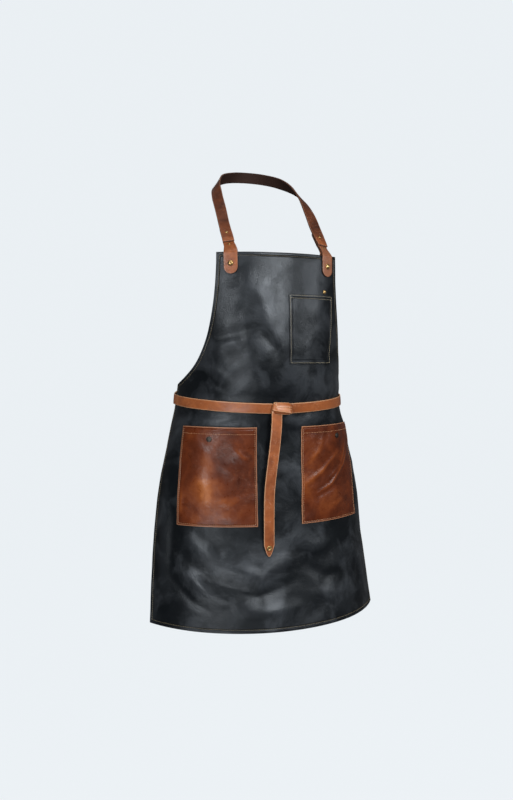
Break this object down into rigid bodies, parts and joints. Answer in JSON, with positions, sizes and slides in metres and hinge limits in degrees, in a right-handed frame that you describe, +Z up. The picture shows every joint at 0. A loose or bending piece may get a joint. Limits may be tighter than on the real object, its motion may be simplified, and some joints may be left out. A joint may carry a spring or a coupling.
{
  "type": "butcher apron",
  "caption": "Leather bib apron in its worn shape: patch pockets with snaps, riveted neck strap, and waist straps tied at the front.",
  "frame": {"origin": "flat inner face of the neck strap at the middle of the nape, where the strap rests on the wearer", "axes": "+Z up, the front of the apron faces -Y, +X towards the wearer's left"},
  "size_m": [0.5328, 0.2883, 1.0219],
  "materials": {
    "black_leather": "black pull-up leather with a waxy sheen, rubbed grey patches and a fine grain",
    "pocket_leather": "reddish brown pull-up leather, paler where it bends, with a satin sheen",
    "strap_leather": "dark brown bridle leather, smooth face, burnished edges",
    "tie_leather": "tan leather with pale raw edges, softly creased",
    "thread": "waxed khaki thread, matte",
    "brass": "polished brass, slightly tarnished in the corners",
    "gunmetal": "dark plated steel, satin"
  },
  "bodies": {
    "apron": {"apron_panel": "black_leather", "chest_pocket": "black_leather", "chest_rivet_cap": "brass", "chest_rivet_back": "brass", "hip_pocket_left": "pocket_leather", "hip_pocket_right": "pocket_leather", "snap_stud_left": "gunmetal", "snap_post_left": "gunmetal", "snap_stud_right": "gunmetal", "snap_post_right": "gunmetal", "tab_front_left": "strap_leather", "tab_back_left": "strap_leather", "neck_strap_end_left": "strap_leather", "tab_stud_left_cap": "brass", "tab_stud_left_back": "brass", "tab_rivet_lower_left_cap": "brass", "tab_rivet_lower_left_back": "brass", "tab_rivet_upper_left_cap": "brass", "tab_rivet_upper_left_back": "brass", "tab_front_right": "strap_leather", "tab_back_right": "strap_leather", "neck_strap_end_right": "strap_leather", "tab_stud_right_cap": "brass", "tab_stud_right_back": "brass", "tab_rivet_lower_right_cap": "brass", "tab_rivet_lower_right_back": "brass", "tab_rivet_upper_right_cap": "brass", "tab_rivet_upper_right_back": "brass", "waist_strap_left": "tie_leather", "waist_anchor_left_cap": "brass", "waist_anchor_left_back": "brass", "waist_strap_right": "tie_leather", "waist_anchor_right_cap": "brass", "waist_anchor_right_back": "brass", "waist_knot": "tie_leather"},
    "neck_loop": {"neck_strap": "strap_leather"},
    "tail": {"waist_tail": "tie_leather", "tail_eyelet": "brass", "tail_washer": "brass"},
    "pocket_mouth_left": {"snap_cap_left": "gunmetal", "snap_socket_left": "gunmetal"},
    "pocket_mouth_right": {"snap_cap_right": "gunmetal", "snap_socket_right": "gunmetal"}
  },
  "joints": [
    {"name": "neck_strap_swing", "type": "hinge", "parent": "apron", "child": "neck_loop", "pos_m": [0, -0.17322, -0.14197], "axis": [1, 0, 0], "range_deg": [-75, 105]},
    {"name": "tail_swing", "type": "hinge", "parent": "apron", "child": "tail", "pos_m": [-0.0126, -0.25418, -0.55397], "axis": [-1, 0, 0], "range_deg": [0, 100]},
    {"name": "pocket_open_left", "type": "hinge", "parent": "apron", "child": "pocket_mouth_left", "pos_m": [0.14669, -0.20326, -0.66333], "axis": [0.8381, 0.5455, 0], "range_deg": [0, 14], "stiffness_Nm_per_rad": 0.05, "deforming": ["hip_pocket_left"]},
    {"name": "pocket_open_right", "type": "hinge", "parent": "apron", "child": "pocket_mouth_right", "pos_m": [-0.14669, -0.20326, -0.66333], "axis": [0.8381, -0.5455, 0], "range_deg": [0, 14], "stiffness_Nm_per_rad": 0.05, "deforming": ["hip_pocket_right"]}
  ]
}
